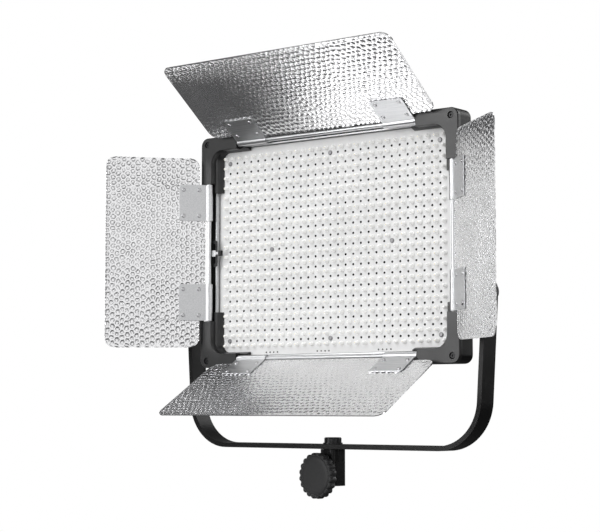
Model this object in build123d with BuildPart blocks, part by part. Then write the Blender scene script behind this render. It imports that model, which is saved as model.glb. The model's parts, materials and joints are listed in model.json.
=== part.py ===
from build123d import *
import os
from math import sin, cos, radians

os.makedirs("parts", exist_ok=True)

# ------------------------------------------------------------------ driving dimensions (mm)
# Origin: mouth of the 16 mm stand socket, on the pan axis.  +Z up, the light faces -Y.
panel_z = 254.0             # height of the panel centre
tilt_z = 196.5              # height of the tilt axis
body_w, body_h = 342.0, 257.0
body_r = 9.0
guard_face_y = -18.0        # front faces of the corner guards
guard_thick = 5.0
shell_front_y = -7.5
shell_back_y = 9.0
hinge_x, hinge_z, hinge_y = 162.0, 119.5, -14.0
span_x, span_z = 119.5, 76.7        # half lengths of the gaps between the guards
rod_r = 2.5
board_w, board_h, board_y = 310.0, 229.4, -3.5
led_dx, led_dz, led_nx, led_nz = 10.0, 11.0, 30, 20
led_r, led_h = 2.4, 4.8
door_l = {"left": 115.6, "right": 115.6, "top": 119.0, "bottom": 119.0}   # hinge axis to outer edge
door_t = 1.2
door_angle = {"left": 47.4, "right": 37.2, "top": 52.7, "bottom": 59.4}
yoke_depth, yoke_t = 23.0, 5.0
yoke_top_w, yoke_low_w = 198.0, 188.4    # outer half widths at the tilt axis and at the bar
bar_z = 38.5                # underside of the yoke bar
socket_r, socket_depth = 8.15, 30.0
knob_z = 11.0
receiver_turn = -7.0        # degrees about +Z
case_w, case_h, case_y = 236.0, 150.0, 35.0
case_z = panel_z + 8.0

front = Plane.XZ            # local x = X, local y = Z, normal = -Y


def facing(y):
    """Sketch plane parallel to the panel at depth y, normal pointing forward."""
    return front.offset(-y)


def save(part, name):
    part.label = name
    export_step(part, "parts/" + name + ".step")


# ------------------------------------------------------------------ stand receiver (fixed root)
turn = Location((0, 0, 0), (0, 0, receiver_turn))
knob_axis = Vector(sin(radians(receiver_turn)), -cos(radians(receiver_turn)), 0)
knob_side = Vector(cos(radians(receiver_turn)), sin(radians(receiver_turn)), 0)
knob_plane = Plane(origin=(0, 0, knob_z), x_dir=knob_side, z_dir=knob_axis)

with BuildPart() as receiver_block:
    with BuildSketch(Plane.XY) as block_outline:
        RectangleRounded(21.5, 21.5, 5.5, rotation=receiver_turn)
    extrude(amount=bar_z - 0.3)
    # flutes down the upper half of the four sides
    with BuildSketch(Plane.XY.offset(25.0)):
        with PolarLocations(0, 4, start_angle=receiver_turn):
            with Locations((11.4, -4.0), (11.4, 4.0)):
                RectangleRounded(3.0, 3.6, 0.9)
    extrude(amount=14.0, mode=Mode.SUBTRACT)
    with BuildSketch(knob_plane.offset(8.0)):
        Circle(8.0)
    extrude(amount=6.0)
    with BuildSketch(Plane.XY):
        Circle(socket_r)
    extrude(amount=socket_depth, mode=Mode.SUBTRACT)
    with BuildSketch(knob_plane.offset(4.0)):
        Circle(4.3)
    extrude(amount=12.0, mode=Mode.SUBTRACT)
    with BuildSketch(Plane.XY.offset(socket_depth)):
        Circle(5.05)
    extrude(amount=10.0, mode=Mode.SUBTRACT)
save(receiver_block.part, "receiver_block")

with BuildPart() as pan_washer:
    with BuildSketch(Plane.XY.offset(bar_z + yoke_t + 0.3)):
        Circle(10.5)
        Circle(5.2, mode=Mode.SUBTRACT)
    extrude(amount=1.2)
save(pan_washer.part, "pan_washer")

with BuildPart() as pan_bolt:
    with BuildSketch(Plane.XY.offset(socket_depth + 0.4)):
        Circle(5.0)
    extrude(amount=bar_z + yoke_t + 1.5 - socket_depth - 0.4)
    with BuildSketch(Plane.XY.offset(bar_z + yoke_t + 1.5)):
        Circle(9.2)
    extrude(amount=5.6)
    chamfer(pan_bolt.edges().group_by(Axis.Z)[-1], 0.8)
    with BuildSketch(Plane.XY.offset(bar_z + yoke_t + 7.1)):
        RegularPolygon(4.0, 6)
    extrude(amount=-3.0, mode=Mode.SUBTRACT)
save(pan_bolt.part, "pan_bolt")

# ------------------------------------------------------------------ clamp knob on the receiver
def scalloped_knob(plane, back, front_at, radius, lobes, hub_r, hub_back):
    """Knob turned about the plane normal with a scalloped grip rim."""
    with BuildPart() as knob:
        with BuildSketch(plane.offset(back)):
            Circle(radius)
            with PolarLocations(radius + 1.2, lobes):
                Circle(2.4, mode=Mode.SUBTRACT)
        extrude(amount=front_at - back - 1.6)
        with BuildSketch(plane.offset(front_at - 1.6)):
            Circle(radius - 2.6)
        extrude(amount=1.6, taper=35)
        with BuildSketch(plane.offset(hub_back)):
            Circle(hub_r)
        extrude(amount=back - hub_back)
        with BuildSketch(plane.offset(hub_back)):
            Circle(4.02)
        extrude(amount=back - hub_back + 4.0, mode=Mode.SUBTRACT)
    return knob.part


clamp_knob = scalloped_knob(knob_plane, 18.2, 28.4, 24.0, 20, 9.0, 14.6)
save(clamp_knob, "clamp_knob")

with BuildPart() as clamp_screw:
    with BuildSketch(knob_plane.offset(8.9)):
        Circle(4.0)
    extrude(amount=13.1)
    chamfer(clamp_screw.edges().sort_by(Axis.Y)[-1], 0.6)
save(clamp_screw.part, "clamp_screw")

# ------------------------------------------------------------------ yoke
arm_top = tilt_z + yoke_depth / 2
lean = (yoke_top_w - yoke_low_w) / (tilt_z - bar_z)


def arm_x(z):
    """Outer half width of the yoke at height z."""
    return yoke_low_w + lean * (z - bar_z)


with BuildSketch(front) as yoke_outer:
    with BuildLine():
        Polyline((-arm_x(260), 260), (-arm_x(bar_z), bar_z),
                 (arm_x(bar_z), bar_z), (arm_x(260), 260), close=True)
    make_face()
    fillet(yoke_outer.vertices().group_by(Axis.Z)[0], 52.0)

with BuildSketch(front) as yoke_inner:
    with BuildLine():
        Polyline((-arm_x(275) + yoke_t, 275), (-arm_x(bar_z) + yoke_t, bar_z + yoke_t),
                 (arm_x(bar_z) - yoke_t, bar_z + yoke_t), (arm_x(275) - yoke_t, 275), close=True)
    make_face()
    fillet(yoke_inner.vertices().group_by(Axis.Z)[0], 47.0)

with BuildPart() as inner_space:
    extrude(yoke_inner.sketch, amount=yoke_depth, dir=(0, 1, 0), both=True)

with BuildPart() as yoke_bar:
    extrude(yoke_outer.sketch, amount=yoke_depth / 2, dir=(0, 1, 0), both=True)
    add(inner_space.part, mode=Mode.SUBTRACT)
    # rounded tops of the arms, seen from the side
    with BuildSketch(Plane.YZ.offset(-260)):
        with Locations((0, tilt_z)):
            Circle(yoke_depth / 2)
        with Locations((0, tilt_z / 2 - 10)):
            Rectangle(yoke_depth, tilt_z + 20)
    extrude(amount=520, mode=Mode.INTERSECT)
    # tilt holes through both arms, pan hole through the bottom
    with BuildSketch(Plane.YZ):
        with Locations((0, tilt_z)):
            Circle(4.4)
    extrude(amount=260, both=True, mode=Mode.SUBTRACT)
    with BuildSketch(Plane.XY):
        Circle(5.3)
    extrude(amount=100, mode=Mode.SUBTRACT)
save(yoke_bar.part, "yoke_bar")

with BuildPart() as pivot_washers:
    with BuildSketch(Plane.YZ.offset(191.5)):
        with Locations((0, tilt_z)):
            Circle(10.0)
            Circle(4.4, mode=Mode.SUBTRACT)
    extrude(amount=6.0)
    mirror(about=Plane.YZ)
    add(inner_space.part, mode=Mode.INTERSECT)
save(pivot_washers.part, "pivot_washers")

# ------------------------------------------------------------------ tilt knob on the left arm
left_out = Plane(origin=(0, 0, tilt_z), x_dir=(0, 1, 0), z_dir=(-1, 0, 0))
tilt_knob = scalloped_knob(left_out, 203.5, 215.0, 21.0, 18, 9.5, 199.3)
save(tilt_knob, "tilt_knob")

with BuildPart() as tilt_screw:
    with BuildSketch(left_out.offset(178.0)):
        Circle(4.0)
    extrude(amount=28.0)
    chamfer(tilt_screw.edges().sort_by(Axis.X)[-1], 0.6)
save(tilt_screw.part, "tilt_screw")

# ------------------------------------------------------------------ head: shell and corner guards
def corner_regions(inner_x, inner_z, inner_r, end_x, end_z):
    """Sketch items: the four corners of a rectangular ring, open in the middle of each side."""
    RectangleRounded(2 * inner_x, 2 * inner_z, inner_r, mode=Mode.SUBTRACT)
    Rectangle(2 * end_x, 400, mode=Mode.SUBTRACT)
    Rectangle(500, 2 * end_z, mode=Mode.SUBTRACT)


centre = Locations((0, panel_z))
rod_ends = 5.0
rod_cut = rod_r + 0.05

with BuildPart() as rod_sockets:
    with BuildSketch(Plane.XY.offset(panel_z - span_z - rod_ends)):
        with Locations((-hinge_x, hinge_y), (hinge_x, hinge_y)):
            Circle(rod_cut)
    extrude(amount=2 * (span_z + rod_ends))
    with BuildSketch(Plane.YZ.offset(-span_x - rod_ends)):
        with Locations((hinge_y, panel_z - hinge_z), (hinge_y, panel_z + hinge_z)):
            Circle(rod_cut)
    extrude(amount=2 * (span_x + rod_ends))

with BuildPart() as rear_shell:
    with BuildSketch(facing(shell_front_y)):
        with Locations((0, panel_z)):
            RectangleRounded(body_w, body_h, body_r)
    extrude(amount=shell_front_y - shell_back_y)
    fillet(rear_shell.edges().group_by(Axis.Y)[-1], 4.0)
    with BuildSketch(facing(shell_front_y)):
        with Locations((0, panel_z)):
            RectangleRounded(314.0, 233.6, 3.0)
    extrude(amount=-14.0, mode=Mode.SUBTRACT)
    # raised posts behind the corner guards
    with BuildSketch(facing(shell_front_y)):
        with Locations((0, panel_z)):
            RectangleRounded(body_w, body_h, body_r)
            corner_regions(161.0, 118.5, 6.0, span_x, span_z)
    extrude(amount=5.5)
    add(rod_sockets.part, mode=Mode.SUBTRACT)
    with BuildSketch(facing(-13.0)):
        with Locations((0, panel_z)):
            with GridLocations(324.0, 241.4, 2, 2):
                Circle(1.55)
    extrude(amount=-8.5, mode=Mode.SUBTRACT)
    # cooling slots beside the electronics case
    with BuildSketch(facing(shell_back_y)):
        with Locations((-138.0, panel_z + 50), (138.0, panel_z + 50),
                       (-138.0, panel_z - 50), (138.0, panel_z - 50)):
            with GridLocations(8.0, 1.0, 4, 1):
                SlotOverall(44.0, 3.2, rotation=90)
    extrude(amount=4.0, mode=Mode.SUBTRACT)
    # threaded sockets on the sides for the tilt bosses
    with BuildSketch(Plane.YZ.offset(-body_w / 2)):
        with Locations((0, tilt_z)):
            Circle(4.05)
    extrude(amount=10.0, mode=Mode.SUBTRACT)
    with BuildSketch(Plane.YZ.offset(body_w / 2)):
        with Locations((0, tilt_z)):
            Circle(4.05)
    extrude(amount=-10.0, mode=Mode.SUBTRACT)
save(rear_shell.part, "rear_shell")

with BuildPart() as corner_guards:
    # front plates
    with BuildSketch(facing(guard_face_y + guard_thick)):
        with Locations((0, panel_z)):
            RectangleRounded(body_w, body_h, body_r)
            corner_regions(155.6, 112.8, 15.0, span_x, span_z)
    extrude(amount=guard_thick)
    fillet(corner_guards.edges().group_by(Axis.Y)[0], 0.8)
    # inner flange stepping back to the board, longer than the front plate
    with BuildSketch(facing(-9.3)):
        with Locations((0, panel_z)):
            RectangleRounded(321.6, 236.6, 15.0)
            corner_regions(150.5, 113.0, 13.0, span_x, span_z)
    extrude(amount=-9.3 - guard_face_y - guard_thick)
    with BuildSketch(facing(-9.3)):
        with Locations((0, panel_z)):
            RectangleRounded(314.0, 229.6, 15.0)
            corner_regions(150.5, 113.0, 13.0, span_x - 10, span_z - 10)
    extrude(amount=1.9)
    with BuildSketch(facing(-4.0)):
        with Locations((0, panel_z)):
            RectangleRounded(309.4, 229.0, 14.0)
            corner_regions(148.2, 111.2, 8.0, span_x - 10, span_z - 10)
    extrude(amount=5.3)
    add(rod_sockets.part, mode=Mode.SUBTRACT)
    with BuildSketch(facing(guard_face_y)):
        with Locations((0, panel_z)):
            with GridLocations(324.0, 241.4, 2, 2):
                Circle(3.6)
    extrude(amount=-3.2, mode=Mode.SUBTRACT)
    with BuildSketch(facing(guard_face_y)):
        with Locations((0, panel_z)):
            with GridLocations(324.0, 241.4, 2, 2):
                Circle(1.7)
    extrude(amount=-6.0, mode=Mode.SUBTRACT)
save(corner_guards.part, "corner_guards")

with BuildPart() as guard_screws:
    with BuildSketch(facing(guard_face_y + 3.2)):
        with Locations((0, panel_z)):
            with GridLocations(324.0, 241.4, 2, 2):
                Circle(3.2)
    extrude(amount=2.2)
    fillet(guard_screws.edges().group_by(Axis.Y)[0], 0.9)
    with BuildSketch(facing(guard_face_y + 1.0)):
        with Locations((0, panel_z)):
            with GridLocations(324.0, 241.4, 2, 2):
                RegularPolygon(1.4, 6)
    extrude(amount=-1.3, mode=Mode.SUBTRACT)
    with BuildSketch(facing(guard_face_y + 3.2)):
        with Locations((0, panel_z)):
            with GridLocations(324.0, 241.4, 2, 2):
                Circle(1.5)
    extrude(amount=-9.6)
save(guard_screws.part, "guard_screws")

with BuildPart() as hinge_rods:
    with BuildSketch(Plane.XY.offset(panel_z - span_z - rod_ends)):
        with Locations((-hinge_x, hinge_y), (hinge_x, hinge_y)):
            Circle(rod_r)
    extrude(amount=2 * (span_z + rod_ends))
    with BuildSketch(Plane.YZ.offset(-span_x - rod_ends)):
        with Locations((hinge_y, panel_z - hinge_z), (hinge_y, panel_z + hinge_z)):
            Circle(rod_r)
    extrude(amount=2 * (span_x + rod_ends))
save(hinge_rods.part, "hinge_rods")

# ------------------------------------------------------------------ head: light engine
with BuildPart() as light_frame:
    with BuildSketch(facing(1.0)):
        with Locations((0, panel_z)):
            RectangleRounded(313.6, 233.2, 2.8)
            RectangleRounded(311.0, 230.6, 1.5, mode=Mode.SUBTRACT)
    extrude(amount=10.0)
save(light_frame.part, "light_frame")

with BuildPart() as heat_plate:
    with BuildSketch(facing(1.1)):
        with Locations((0, panel_z)):
            Rectangle(board_w, board_h)
    extrude(amount=3.0)
    with BuildSketch(facing(1.1)):
        with Locations((0, panel_z)):
            with GridLocations(34.0, 1.0, 9, 1):
                Rectangle(2.4, 210.0)
    extrude(amount=-5.4)
    with BuildSketch(facing(-1.9)):
        with Locations((0, panel_z)):
            with GridLocations(280.0, 198.0, 2, 2):
                Circle(1.05)
            with GridLocations(160.0, 1.0, 2, 1):
                Circle(1.05)
            with GridLocations(1.0, 198.0, 1, 2):
                Circle(1.05)
    extrude(amount=-2.6, mode=Mode.SUBTRACT)
save(heat_plate.part, "heat_plate")

with BuildPart() as led_board:
    with BuildSketch(facing(-1.9)):
        with Locations((0, panel_z)):
            Rectangle(board_w, board_h)
            with GridLocations(280.0, 198.0, 2, 2):
                Circle(1.1, mode=Mode.SUBTRACT)
            with GridLocations(160.0, 1.0, 2, 1):
                Circle(1.1, mode=Mode.SUBTRACT)
            with GridLocations(1.0, 198.0, 1, 2):
                Circle(1.1, mode=Mode.SUBTRACT)
    extrude(amount=1.6)
save(led_board.part, "led_board")

# one solid per row: a thin lead rail carrying the LED bodies
with BuildPart() as led_emitters:
    with BuildSketch(facing(board_y - 0.02)):
        with Locations((0, panel_z)):
            with GridLocations(1.0, led_dz, 1, led_nz):
                Rectangle(led_dx * (led_nx - 1), 1.6)
    extrude(amount=0.4)
    with BuildSketch(facing(board_y - 0.02)):
        with Locations((0, panel_z)):
            with GridLocations(led_dx, led_dz, led_nx, led_nz):
                Circle(led_r)
    extrude(amount=led_h)
save(led_emitters.part, "led_emitters")

with BuildPart() as board_screws:
    for head in (True, False):
        with BuildSketch(facing(board_y)):
            with Locations((0, panel_z)):
                with GridLocations(280.0, 198.0, 2, 2):
                    Circle(2.5 if head else 1.0)
                with GridLocations(160.0, 1.0, 2, 1):
                    Circle(2.5 if head else 1.0)
                with GridLocations(1.0, 198.0, 1, 2):
                    Circle(2.5 if head else 1.0)
        extrude(amount=1.3 if head else -4.0)
        if head:
            fillet(board_screws.edges().group_by(Axis.Y)[0], 0.8)
save(board_screws.part, "board_screws")

# ------------------------------------------------------------------ head: filter latch on the left rim
latch_z = panel_z - 1.0
with BuildPart() as latch_keeper:
    with BuildSketch(facing(-9.2)):
        with Locations((-157.2, latch_z)):
            RectangleRounded(6.6, 29.0, 1.6)
            SlotOverall(23.0, 2.8, rotation=90, mode=Mode.SUBTRACT)
    extrude(amount=1.4)
    with BuildSketch(facing(shell_front_y)):
        with Locations((-158.7, latch_z - 13.0), (-158.7, latch_z + 13.0)):
            Rectangle(3.2, 3.0)
    extrude(amount=1.7)
save(latch_keeper.part, "latch_keeper")

with BuildPart() as latch_carriage:
    with BuildSketch(facing(-10.9)):
        with Locations((-157.0, latch_z)):
            RectangleRounded(5.4, 7.0, 0.8)
        with Locations((-151.0, latch_z)):
            Rectangle(8.0, 3.0)
    extrude(amount=1.6)
    with BuildSketch(facing(-10.9)):
        with Locations((-157.2, latch_z)):
            RectangleRounded(2.2, 5.0, 0.6)
    extrude(amount=-1.6)
save(latch_carriage.part, "latch_carriage")

with BuildPart() as latch_tip:
    with BuildSketch(facing(-9.6)):
        with Locations((-148.0, latch_z)):
            RectangleRounded(4.0, 6.2, 1.2)
            Rectangle(10.0, 3.04, mode=Mode.SUBTRACT)
    extrude(amount=3.2)
    with BuildSketch(facing(-12.5)):
        with Locations((-148.0, latch_z)):
            RectangleRounded(4.0, 6.2, 1.2)
    extrude(amount=0.5)
    with BuildSketch(facing(-10.9)):
        with Locations((-148.0, latch_z)):
            RectangleRounded(4.0, 6.2, 1.2)
    extrude(amount=-1.2)
save(latch_tip.part, "latch_tip")

# ------------------------------------------------------------------ head: tilt bosses and pivot bolt
with BuildPart() as tilt_bosses:
    with BuildSketch(Plane.YZ.offset(body_w / 2)):
        with Locations((0, tilt_z)):
            Circle(7.4)
    extrude(amount=20.2)
    chamfer(tilt_bosses.edges().group_by(Axis.X)[-1], 0.8)
    mirror(about=Plane.YZ)
    with BuildSketch(Plane.YZ):
        with Locations((0, tilt_z)):
            Circle(4.05)
    extrude(amount=200, both=True, mode=Mode.SUBTRACT)
save(tilt_bosses.part, "tilt_bosses")

with BuildPart() as pivot_bolt:
    with BuildSketch(Plane.YZ.offset(178.0)):
        with Locations((0, tilt_z)):
            Circle(4.0)
    extrude(amount=21.0)
    with BuildSketch(Plane.YZ.offset(199.0)):
        with Locations((0, tilt_z)):
            Circle(7.5)
    extrude(amount=2.8)
    fillet(pivot_bolt.edges().group_by(Axis.X)[-1], 1.2)
    with BuildSketch(Plane.YZ.offset(201.8)):
        with Locations((0, tilt_z)):
            RegularPolygon(2.5, 6)
    extrude(amount=-1.6, mode=Mode.SUBTRACT)
save(pivot_bolt.part, "pivot_bolt")

# ------------------------------------------------------------------ head: electronics case
dial_x, control_z = 62.0, case_z - 46.0
plate_x, plate_z = 54.0, case_z + 24.0
button_x = (-18.0, 0.0, 18.0)
button_z = case_z - 64.0
switch_x, jack_x, power_z = -98.0, 98.0, case_z - 52.0

with BuildPart() as rear_case:
    with BuildSketch(facing(shell_back_y)):
        with Locations((0, case_z)):
            RectangleRounded(case_w, case_h, 8.0)
    extrude(amount=shell_back_y - case_y)
    fillet(rear_case.edges().group_by(Axis.Y)[-1], 3.0)
    with BuildSketch(facing(shell_back_y)):
        with Locations((0, case_z)):
            RectangleRounded(case_w - 5, case_h - 5, 6.0)
    extrude(amount=shell_back_y - case_y + 2.5, mode=Mode.SUBTRACT)
    # openings for display, dials, buttons, switch and jack
    with BuildSketch(facing(case_y)):
        with Locations((0, control_z + 6)):
            Rectangle(52.0, 20.0)
        with Locations((-dial_x, control_z), (dial_x, control_z)):
            Circle(3.4)
        with Locations(*[(x, button_z) for x in button_x]):
            Circle(3.6)
        with Locations((switch_x, power_z)):
            Rectangle(13.0, 19.0)
        with Locations((jack_x, power_z)):
            Circle(5.55)
    extrude(amount=5.0, both=True, mode=Mode.SUBTRACT)
    # cooling slots on the upper and lower walls
    with BuildSketch(Plane.XY.offset(case_z - case_h / 2)):
        with Locations((0, 22.0)):
            with GridLocations(9.0, 1.0, 17, 1):
                SlotOverall(13.0, 3.2, rotation=90)
    extrude(amount=case_h, mode=Mode.SUBTRACT)
    # screw pillars in the corners
    with BuildSketch(facing(shell_back_y)):
        with Locations((0, case_z)):
            with GridLocations(case_w - 18, case_h - 18, 2, 2):
                Circle(4.0)
    extrude(amount=shell_back_y - case_y + 1.0)
    with BuildSketch(facing(case_y)):
        with Locations((0, case_z)):
            with GridLocations(case_w - 18, case_h - 18, 2, 2):
                Circle(1.55)
    extrude(amount=15.0, both=True, mode=Mode.SUBTRACT)
save(rear_case.part, "rear_case")

with BuildPart() as case_screws:
    with BuildSketch(facing(case_y)):
        with Locations((0, case_z)):
            with GridLocations(case_w - 18, case_h - 18, 2, 2):
                Circle(3.0)
    extrude(amount=-2.0)
    fillet(case_screws.edges().group_by(Axis.Y)[-1], 0.9)
    with BuildSketch(facing(case_y)):
        with Locations((0, case_z)):
            with GridLocations(case_w - 18, case_h - 18, 2, 2):
                Circle(1.5)
    extrude(amount=14.0)
save(case_screws.part, "case_screws")

with BuildPart() as driver_board:
    with BuildSketch(facing(17.0)):
        with Locations((0, case_z + 4)):
            Rectangle(170.0, 90.0)
    extrude(amount=1.6)
    with BuildSketch(facing(17.0)):
        with Locations((0, case_z + 4)):
            with GridLocations(150.0, 70.0, 2, 2):
                Circle(3.0)
    extrude(amount=17.0 - shell_back_y)
    with BuildSketch(facing(17.0)):
        with Locations((-50, case_z + 20), (-30, case_z + 20), (50, case_z + 14)):
            Rectangle(14.0, 22.0)
    extrude(amount=-11.0)
    with BuildSketch(facing(17.0)):
        with Locations((0, case_z + 24), (14, case_z + 24), (70, case_z - 14)):
            Circle(5.0)
    extrude(amount=-13.0)
save(driver_board.part, "driver_board")

with BuildPart() as display_bezel:
    with BuildSketch(facing(case_y)):
        with Locations((0, control_z + 6)):
            RectangleRounded(58.0, 26.0, 3.0)
            Rectangle(48.0, 16.4, mode=Mode.SUBTRACT)
    extrude(amount=-1.6)
save(display_bezel.part, "display_bezel")

with BuildPart() as display_window:
    with BuildSketch(facing(case_y - 1.2)):
        with Locations((0, control_z + 6)):
            Rectangle(51.6, 19.6)
    extrude(amount=-1.2)
save(display_window.part, "display_window")

with BuildPart() as battery_plates:
    with BuildSketch(facing(case_y)):
        with Locations((-plate_x, plate_z), (plate_x, plate_z)):
            RectangleRounded(42.0, 74.0, 3.0)
    extrude(amount=-3.0)
    # two slide rails with undercut lips on each plate
    for side in (-1, 1):
        for px in (-plate_x, plate_x):
            with BuildSketch(facing(case_y + 3.0)):
                with Locations((px + side * 19.2, plate_z + 3.0)):
                    Rectangle(3.2, 66.0)
            extrude(amount=-5.0)
            with BuildSketch(facing(case_y + 6.4)):
                with Locations((px + side * 18.2, plate_z + 20.0), (px + side * 18.2, plate_z - 12.0)):
                    Rectangle(5.2, 14.0)
            extrude(amount=-1.6)
    # top stop and contact tower
    with BuildSketch(facing(case_y + 3.0)):
        with Locations((-plate_x, plate_z + 31.0), (plate_x, plate_z + 31.0)):
            Rectangle(22.0, 9.0)
    extrude(amount=-4.0)
    with BuildSketch(facing(case_y)):
        with Locations((-plate_x, plate_z - 29.0), (plate_x, plate_z - 29.0)):
            Rectangle(12.6, 8.6)
    extrude(amount=-3.0, mode=Mode.SUBTRACT)
save(battery_plates.part, "battery_plates")

with BuildPart() as battery_contacts:
    for px in (-plate_x, plate_x):
        for k in (-1, 0, 1):
            with BuildSketch(facing(case_y + 3.0)):
                with Locations((px + 7.0 * k, plate_z + 20.5)):
                    Rectangle(2.0, 9.0)
            extrude(amount=-2.4)
save(battery_contacts.part, "battery_contacts")

for name, px in (("battery_release_left", -plate_x), ("battery_release_right", plate_x)):
    with BuildPart() as release:
        with BuildSketch(facing(case_y + 1.0)):
            with Locations((px, plate_z - 29.0)):
                RectangleRounded(12.0, 8.0, 1.0)
        extrude(amount=-5.5)
        chamfer(release.edges().group_by(Axis.Y)[-1], 0.6)
    save(release.part, name)

for name, dx in (("brightness_dial", -dial_x), ("colour_dial", dial_x)):
    with BuildPart() as dial:
        with BuildSketch(facing(case_y + 0.4)):
            with Locations((dx, control_z)):
                Circle(11.0)
                with PolarLocations(11.6, 24):
                    Circle(1.1, mode=Mode.SUBTRACT)
        extrude(amount=-11.0)
        with BuildSketch(facing(case_y + 11.4)):
            with Locations((dx, control_z)):
                Circle(10.0)
        extrude(amount=-1.6, taper=30)
        with BuildSketch(facing(case_y + 13.0)):
            with Locations((dx, control_z + 5.0)):
                SlotOverall(6.0, 1.2, rotation=90)
        extrude(amount=0.8, mode=Mode.SUBTRACT)
        with BuildSketch(facing(case_y - 10.0)):
            with Locations((dx, control_z)):
                Circle(3.0)
        extrude(amount=-10.4)
    save(dial.part, name)

for name, bx in zip(("mode_button", "channel_button", "group_button"), button_x):
    with BuildPart() as button:
        with BuildSketch(facing(case_y - 4.0)):
            with Locations((bx, button_z)):
                Circle(3.3)
        extrude(amount=-6.0)
        fillet(button.edges().group_by(Axis.Y)[-1], 0.8)
    save(button.part, name)

with BuildPart() as switch_bezel:
    with BuildSketch(facing(case_y)):
        with Locations((switch_x, power_z)):
            RectangleRounded(17.0, 23.0, 2.0)
            Rectangle(11.0, 17.0, mode=Mode.SUBTRACT)
    extrude(amount=-1.8)
    with BuildSketch(facing(case_y)):
        with Locations((switch_x, power_z)):
            Rectangle(12.9, 18.9)
            Rectangle(11.0, 17.0, mode=Mode.SUBTRACT)
    extrude(amount=9.0)
save(switch_bezel.part, "switch_bezel")

with BuildPart() as power_rocker:
    with BuildSketch(Plane.YZ.offset(switch_x - 5.1)):
        with BuildLine():
            Polyline((case_y - 6.0, power_z - 5.0), (case_y - 6.0, power_z + 5.0),
                     (case_y + 1.0, power_z + 7.6), (case_y + 3.6, power_z + 7.6),
                     (case_y + 1.6, power_z), (case_y + 1.2, power_z - 7.6),
                     (case_y - 1.0, power_z - 7.6), close=True)
        make_face()
    extrude(amount=10.2)
save(power_rocker.part, "power_rocker")

with BuildPart() as dc_jack:
    with BuildSketch(facing(case_y)):
        with Locations((jack_x, power_z)):
            RegularPolygon(7.6, 6)
    extrude(amount=-2.4)
    with BuildSketch(facing(case_y + 2.4)):
        with Locations((jack_x, power_z)):
            Circle(5.5)
    extrude(amount=1.4, dir=(0, 1, 0))
    with BuildSketch(facing(case_y)):
        with Locations((jack_x, power_z)):
            Circle(5.5)
    extrude(amount=12.0)
    with BuildSketch(facing(case_y + 3.8)):
        with Locations((jack_x, power_z)):
            Circle(2.8)
    extrude(amount=12.0, mode=Mode.SUBTRACT)
    with BuildSketch(facing(case_y - 8.2)):
        with Locations((jack_x, power_z)):
            Circle(1.0)
    extrude(amount=-9.0)
save(dc_jack.part, "dc_jack")

# ------------------------------------------------------------------ barn doors
# Local frame of a door: x runs from the hinge axis to the outer edge, y along the hinge,
# z out of the reflective face.
def door_plane(side):
    a = radians(door_angle[side])
    s, c = sin(a), cos(a)
    if side == "left":
        return Plane(origin=(-hinge_x, hinge_y, panel_z), x_dir=(-c, -s, 0), z_dir=(s, -c, 0))
    if side == "right":
        return Plane(origin=(hinge_x, hinge_y, panel_z), x_dir=(c, -s, 0), z_dir=(-s, -c, 0))
    if side == "top":
        return Plane(origin=(0, hinge_y, panel_z + hinge_z), x_dir=(0, -s, c), z_dir=(0, -c, -s))
    return Plane(origin=(0, hinge_y, panel_z - hinge_z), x_dir=(0, -s, -c), z_dir=(0, -c, s))


door_r = 10.5
leaf_start, leaf_end, leaf_len = 3.2, 34.0, 40.6
shape = {   # half length at the hinge, half length at the outer edge, half length of the tongue
    "left": (105.4, 106.0, span_z - 1.2),
    "right": (105.4, 106.0, span_z - 1.2),
    "top": (149.0, 149.2, span_x - 1.2),
    "bottom": (146.6, 146.4, span_x - 1.2),
}

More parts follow.
